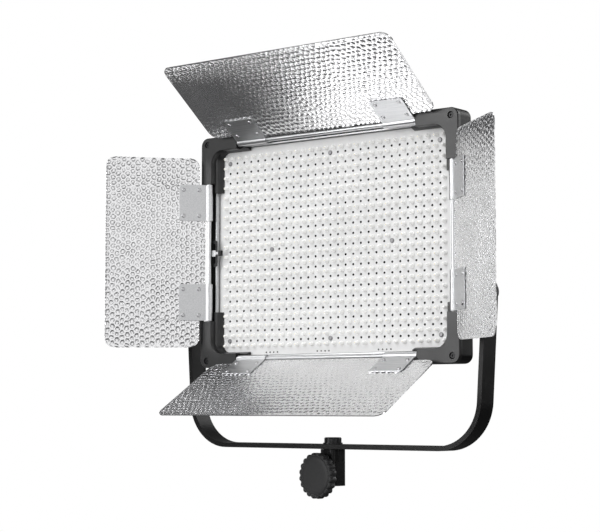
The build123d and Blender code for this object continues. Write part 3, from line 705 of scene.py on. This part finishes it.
def on_board(name, shape, places):
    """One mesh that repeats a turned shape, standing on the board, at each (x, z) place."""
    points, shape_faces = shape
    verts, faces = [], []
    for px, pz in places:
        base = len(verts)
        verts += [(px + x, board_front - h, pz + z) for x, z, h in points]
        faces += [tuple(base + k for k in f) for f in shape_faces]
    return make_mesh(name, verts, faces)


print("lathe ready")

# %% [markdown]
# ## LED domes
# Each LED is a straw-hat type: a thin flange on the board, a short body and a round dome. All 600 are one
# mesh, because that many objects would slow the scene for no gain. A small phosphor spot sits in the top
# of each, warm and cool in alternate columns.

# %% LED domes
lens_profile = [(0.00240, 0.0), (0.00240, 0.0006), (0.00205, 0.0009), (0.00200, 0.0026), (0.00190, 0.0033),
                (0.00160, 0.0040), (0.00115, 0.0045), (0.00060, 0.0047), (0.0, 0.00477)]
spot_profile = [(0.00085, 0.0045), (0.0007, 0.00472), (0.0, 0.0048)]


def led_places(column_numbers):
    """Centres of the LEDs in these columns."""
    return [((i - (columns - 1) / 2) * pitch_x, centre_z + (j - (rows - 1) / 2) * pitch_z)
            for i in column_numbers for j in range(rows)]


lenses = on_board("led_domes", turned(lens_profile, segments=14), led_places(range(columns)))
split_edges(lenses, degrees=50.0)
place(lenses, "head", finish["led_lens"], "led_lens", "led_emitters")
for name, first_column, spot_finish in (("warm_spots", 0, "led_warm"), ("cool_spots", 1, "led_cool")):
    spots = on_board(name, turned(spot_profile, segments=8), led_places(range(first_column, columns, 2)))
    place(spots, "head", finish[spot_finish], "led_lens")
print("led points", len(lenses.data.vertices))

# %% [markdown]
# ## Solder joints
# Small dark joints stand in three groups of four on the lower margin of the board. They are low turned
# buttons, and a bump in the board's material would be too flat to catch the light.

# %% Solder joints
joint_profile = [(0.0009, 0.0), (0.00085, 0.0003), (0.0005, 0.0005), (0.0, 0.00055)]
joint_groups, joint_spacing, joint_drop = (-0.080, -0.010, 0.070), 0.0052, 0.1122
joint_places = [(middle + (k - 1.5) * joint_spacing, centre_z - joint_drop)
                for middle in joint_groups for k in range(4)]
solder = on_board("solder_joints", turned(joint_profile, segments=10), joint_places)
place(solder, "head", finish["black_steel"], "steel")
print("solder joints", len(joint_places))

# %% [markdown]
# ## Sweeping round a corner
# A corner guard is an L-shaped moulding. Its cross-section could be swept along a curve, but then the
# ends would not stop square and the inner radius would shrink with the outer one. Here every point of the
# cross-section draws its own rounded L, with its own radius, and the Ls are joined into one closed skin.

# %% Corner sweep
arc_steps = 12


def corner_sweep(name, profile, end_x, end_z, sx, sz):
    """Closed moulding round one corner; profile items are inset in x and z, corner radius and depth."""
    verts, faces = [], []
    for inset_x, inset_z, r, depth in profile:
        x, z = half_w - inset_x, half_h - inset_z
        path = [(x, end_z), (x, (end_z + z - r) / 2), (x, z - r)]
        for k in range(1, arc_steps):
            a = math.pi / 2 * k / arc_steps
            path.append((x - r + r * math.cos(a), z - r + r * math.sin(a)))
        path += [(x - r, z), ((end_x + x - r) / 2, z), (end_x, z)]
        verts += [(sx * px, guard_front + depth, centre_z + sz * pz) for px, pz in path]
    n, m = len(path), len(profile)
    for a in range(m):
        b = (a + 1) % m
        for k in range(n - 1):
            faces.append((a * n + k, a * n + k + 1, b * n + k + 1, b * n + k))
    faces.append(tuple(a * n for a in range(m)))
    faces.append(tuple(a * n + n - 1 for a in range(m)))
    return face_outwards(make_mesh(name, verts, faces))


print("corner sweep ready")

# %% [markdown]
# ## Guard screw hole
# Each guard has one round hole that its screw sits in. A ring drawn on the plate would look flat from the
# side, so it is a true hole, cut with a Boolean. The cutter is a short turned drum that starts in front
# of the plate and ends just behind it, and it is thrown away afterwards.

# %% Screw hole
screw_hole_radius, screw_hole_segments = 0.0036, 32
screw_inset_x, screw_inset_z = 0.0090, 0.0078
drum_ahead, drum_behind = 0.0010, 0.0052


def cut_screw_hole(guard, sx, sz):
    """Cuts the screw hole through a guard's front plate."""
    n = screw_hole_segments
    points, faces = turned([(screw_hole_radius, -drum_behind), (screw_hole_radius, drum_ahead)], n)
    faces += [tuple(range(n))[::-1], tuple(range(n, 2 * n))]
    x0, z0 = sx * (half_w - screw_inset_x), centre_z + sz * (half_h - screw_inset_z)
    drum = make_mesh("cutter", [(x0 + x, guard_front - h, z0 + z) for x, z, h in points], faces)
    face_outwards(drum)
    cut = guard.modifiers.new("cut", "BOOLEAN")
    cut.operation = "DIFFERENCE"
    cut.solver = "EXACT"
    cut.object = drum
    bake_modifiers(guard)
    bpy.data.objects.remove(drum)
    return guard


print("screw hole across", 2 * screw_hole_radius)

# %% [markdown]
# ## Corner guards
# Two closed profiles follow the same path: the front plate with its eased outer edge, and the flange that
# slopes back to the board. They are kept apart because the real flange is thinner and ends earlier than
# the plate.

# %% Corner guards
plate_end_x, plate_end_z, flange_shorter = 0.1195, 0.0767, 0.010
plate = [(0.0, 0.0, 0.0090, 0.0050), (0.0, 0.0, 0.0090, 0.0010), (0.0003, 0.0003, 0.0087, 0.0004),
         (0.0009, 0.0009, 0.0081, 0.0), (0.0147, 0.0150, 0.0150, 0.0), (0.0152, 0.0155, 0.0150, 0.0005),
         (0.0154, 0.0157, 0.0150, 0.0020), (0.0154, 0.0157, 0.0150, 0.0070),
         (0.0142, 0.0145, 0.0150, 0.0070), (0.0142, 0.0145, 0.0150, 0.0050)]
flange = [(0.0140, 0.0135, 0.0130, 0.0072), (0.0157, 0.0149, 0.0140, 0.0069),
          (0.0180, 0.0155, 0.0120, 0.0080), (0.0220, 0.0169, 0.0090, 0.0122),
          (0.0226, 0.0172, 0.0085, 0.0138), (0.0210, 0.0160, 0.0085, 0.0139),
          (0.0164, 0.0141, 0.0090, 0.0139), (0.0162, 0.0140, 0.0090, 0.0088),
          (0.0140, 0.0135, 0.0130, 0.0086)]


def corner_guard(sx, sz):
    """Plate and flange of the guard at one corner."""
    tag = ("right" if sx > 0 else "left") + ("_top" if sz > 0 else "_bottom")
    front = corner_sweep("guard_plate_" + tag, plate, plate_end_x, plate_end_z, sx, sz)
    split_edges(cut_screw_hole(front, sx, sz), degrees=20.0)
    slope = corner_sweep("guard_flange_" + tag, flange, plate_end_x - flange_shorter,
                         plate_end_z - flange_shorter, sx, sz)
    split_edges(slope, degrees=30.0)
    place(front, "head", finish["guard_plastic"], "guard_plastic", "corner_guards")
    place(slope, "head", finish["guard_plastic"], "guard_plastic")


for sx in (-1, 1):
    for sz in (-1, 1):
        corner_guard(sx, sz)

# %% [markdown]
# ## Scalloped shapes
# Knobs and dials are turned shapes whose rim dips between rounded lobes, so that fingers can grip them. A
# cosine raised to a power gives narrow dips and wide lobes. Each ring has a share from 0 to 1 of the dip,
# so that the rim is scalloped while the cap stays round.

# %% Scalloped shapes
def lobed(name, origin, axis, side, rings, lobes, dip_depth, segments):
    """Turned shape about any axis: rings are (radius, height along the axis, share of the dip)."""
    origin, axis, side = Vector(origin), Vector(axis).normalized(), Vector(side).normalized()
    other = axis.cross(side)
    n = lobes * segments
    verts, faces = [], []
    for r, h, share in rings:
        for k in range(n):
            a = 2 * math.pi * k / n
            dip = dip_depth * share * (0.5 + 0.5 * math.cos(lobes * a)) ** 1.6
            verts.append(origin + axis * h + (side * math.cos(a) + other * math.sin(a)) * (r - dip))
    for i in range(len(rings) - 1):
        for k in range(n):
            m = (k + 1) % n
            faces.append((i * n + k, i * n + m, (i + 1) * n + m, (i + 1) * n + k))
    faces.append(tuple(range(n))[::-1])
    faces.append(tuple(range((len(rings) - 1) * n, len(rings) * n)))
    return split_edges(make_mesh(name, verts, faces), degrees=38.0)


print("scalloped shapes ready")

# %% [markdown]
# ## Clamp knob and tilt knob
# Both are moulded plastic with a scalloped rim round a plain cap that stands a little proud of it. The
# clamp knob turns about the screw that pinches the stand spigot, and the tilt knob about the axis that
# the light tilts on, so both are placed from their joints in the record.

# %% Knobs
clamp = joints["clamp_knob_turn"]
clamp_rings = [(0.009, 0.0146, 0), (0.009, 0.0176, 0), (0.0095, 0.0182, 0), (0.0226, 0.0182, 0.8),
               (0.0236, 0.0187, 1), (0.0240, 0.0196, 1), (0.0240, 0.0258, 1), (0.0236, 0.0266, 1),
               (0.0226, 0.0272, 0.9), (0.0214, 0.0274, 0.5), (0.0206, 0.0274, 0.1), (0.0202, 0.0278, 0),
               (0.0196, 0.0282, 0), (0.0150, 0.0284, 0), (0.0060, 0.0284, 0)]
clamp_side = (-clamp["axis"][1], clamp["axis"][0], 0)
knob = lobed("scalloped_clamp_knob", clamp["pos_m"], clamp["axis"], clamp_side, clamp_rings,
             lobes=20, dip_depth=0.0017, segments=10)
place(knob, "clamp_knob", finish["knob_plastic"], "knob_plastic", "clamp_knob")

tilt_rings = [(0.0095, 0.1993, 0), (0.0095, 0.2030, 0), (0.0100, 0.2035, 0), (0.0196, 0.2035, 0.8),
              (0.0206, 0.2040, 1), (0.0210, 0.2050, 1), (0.0210, 0.2118, 1), (0.0206, 0.2128, 1),
              (0.0196, 0.2134, 0.9), (0.0184, 0.2136, 0.4), (0.0178, 0.2136, 0), (0.0172, 0.2146, 0),
              (0.0160, 0.2150, 0), (0.0050, 0.2150, 0)]
tilt_at = (0, 0, joints["tilt"]["pos_m"][2])
knob = lobed("scalloped_tilt_knob", tilt_at, (-1, 0, 0), (0, 1, 0), tilt_rings,
             lobes=18, dip_depth=0.0016, segments=10)
place(knob, "tilt_knob", finish["knob_plastic"], "knob_plastic", "tilt_knob")
print("knobs ready")

# %% [markdown]
# ## Dials
# The two dials on the back have fine flutes and a small printed pointer. The pointer is a thin bar set
# into the cap, not a mark in the material, so that it turns with its dial and stays sharp close up.

# %% Dials
pointer_half_width, pointer_from, pointer_to = 0.0005, 0.0035, 0.0078


def block(name, lo, hi):
    """A plain box between two corners."""
    verts = [(x, y, z) for x in (lo[0], hi[0]) for y in (lo[1], hi[1]) for z in (lo[2], hi[2])]
    faces = [(0, 1, 3, 2), (4, 6, 7, 5), (0, 4, 5, 1), (2, 3, 7, 6), (0, 2, 6, 4), (1, 5, 7, 3)]
    return make_mesh(name, verts, faces, smooth=False)


def dial(name):
    """Fluted dial and its pointer."""
    at = Vector(joints[name + "_turn"]["pos_m"])
    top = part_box(name)[1].y - at.y
    rings = [(0.0030, -0.0098, 0), (0.0030, 0.0004, 0), (0.0104, 0.0004, 0.6), (0.0109, 0.0009, 1),
             (0.0107, top - 0.0022, 1), (0.0103, top - 0.0012, 1), (0.0095, top - 0.0006, 0.3),
             (0.0088, top - 0.0004, 0), (0.0080, top - 0.0010, 0), (0.0030, top - 0.0010, 0)]
    body = lobed("fluted_" + name, at, (0, 1, 0), (1, 0, 0), rings, lobes=24, dip_depth=0.0009, segments=6)
    place(body, name, finish["knob_plastic"], "knob_plastic", name)
    pointer = block(name + "_mark",
                    (at.x - pointer_half_width, at.y + top - 0.0012, at.z + pointer_from),
                    (at.x + pointer_half_width, at.y + top - 0.0006, at.z + pointer_to))
    place(pointer, name, finish["ink"], "white_board")


for name in ("brightness_dial", "colour_dial"):
    dial(name)
print("dials ready")

# %% [markdown]
# ## Rounding an edge
# No real edge is perfectly sharp, and a sharp one never catches a highlight. The CAD solids stay
# untouched: a copy of the node is cleaned of the flat seams that meshing left, bevelled a fraction of a
# millimetre, and shaded with weighted normals, so that wide faces stay flat and only the bevel curves.

# %% Rounding helper
def bevelled(node, width, segments=2, degrees=30.0):
    """A copy of a CAD node with its hard edges rounded by width metres."""
    data = frame["nodes"][node].data.copy()
    data.name = node + "_rounded"
    bm = bmesh.new()
    bm.from_mesh(data)
    bmesh.ops.remove_doubles(bm, verts=bm.verts, dist=weld_distance)
    bmesh.ops.dissolve_limit(bm, angle_limit=math.radians(1.0), verts=bm.verts, edges=bm.edges)
    bm.to_mesh(data)
    bm.free()
    obj = bpy.data.objects.new(node + "_rounded", data)
    scene.collection.objects.link(obj)
    rounding = obj.modifiers.new("round", "BEVEL")
    rounding.width = width
    rounding.segments = segments
    rounding.limit_method = "ANGLE"
    rounding.angle_limit = math.radians(degrees)
    rounding.use_clamp_overlap = True
    obj.data.set_sharp_from_angle(angle=math.radians(degrees))
    even = obj.modifiers.new("even", "WEIGHTED_NORMAL")
    even.weight = 100
    return bake_modifiers(obj)


print("rounding helper ready")

# %% [markdown]
# ## Rounded copies of the machined and moulded pieces
# The yoke is a coated bar bent into a U, the receiver is a machined block, and the cases are moulded.
# Larger pieces take a wider bevel than thin brackets, whose bevels would otherwise eat the whole edge.

# %% Rounded pieces
rounded = [("yoke_bar", "yoke", 0.0008, "black_paint"),
           ("receiver_block", "receiver", 0.0005, "black_paint"),
           ("rear_shell", "head", 0.0006, "black_paint"),
           ("rear_case", "head", 0.0005, "black_plastic"),
           ("battery_plates", "head", 0.0003, "black_plastic"),
           ("display_bezel", "head", 0.0003, "black_plastic"),
           ("switch_bezel", "head", 0.0003, "black_plastic"),
           ("power_rocker", "power_rocker", 0.0004, "black_plastic"),
           ("latch_keeper", "head", 0.0002, "black_steel"),
           ("latch_carriage", "filter_latch", 0.0002, "steel")]
rounded += [("hinge_plates_" + side, "door_" + side, 0.00025, "aluminium") for side in door_angle]
for node, body, width, slot in rounded:
    place(bevelled(node, width), body, finish[slot], slot, node)
print("rounded", len(rounded))

# %% [markdown]
# ## Finishes for the CAD pieces that stay
# Screws, rivets, rods, buttons and the like are fine as they are. Each takes the finish of its slot in
# the record. Two of them differ from their slot: the board's screws are dull, and the pan washer is
# blackened.

# %% Remaining nodes
slot_of = {s["node"]: s["material_slot"] for s in frame["record"]["subparts"]}
other_finish = {"board_screws": "dull_steel", "pan_washer": "black_steel"}
staying = [(name, obj) for name, obj in frame["nodes"].items() if not obj.hide_render]
for name, obj in staying:
    obj.data.materials.clear()
    obj.data.materials.append(finish[other_finish.get(name, slot_of[name])])
    split_edges(obj)
print("kept CAD nodes", len(staying))
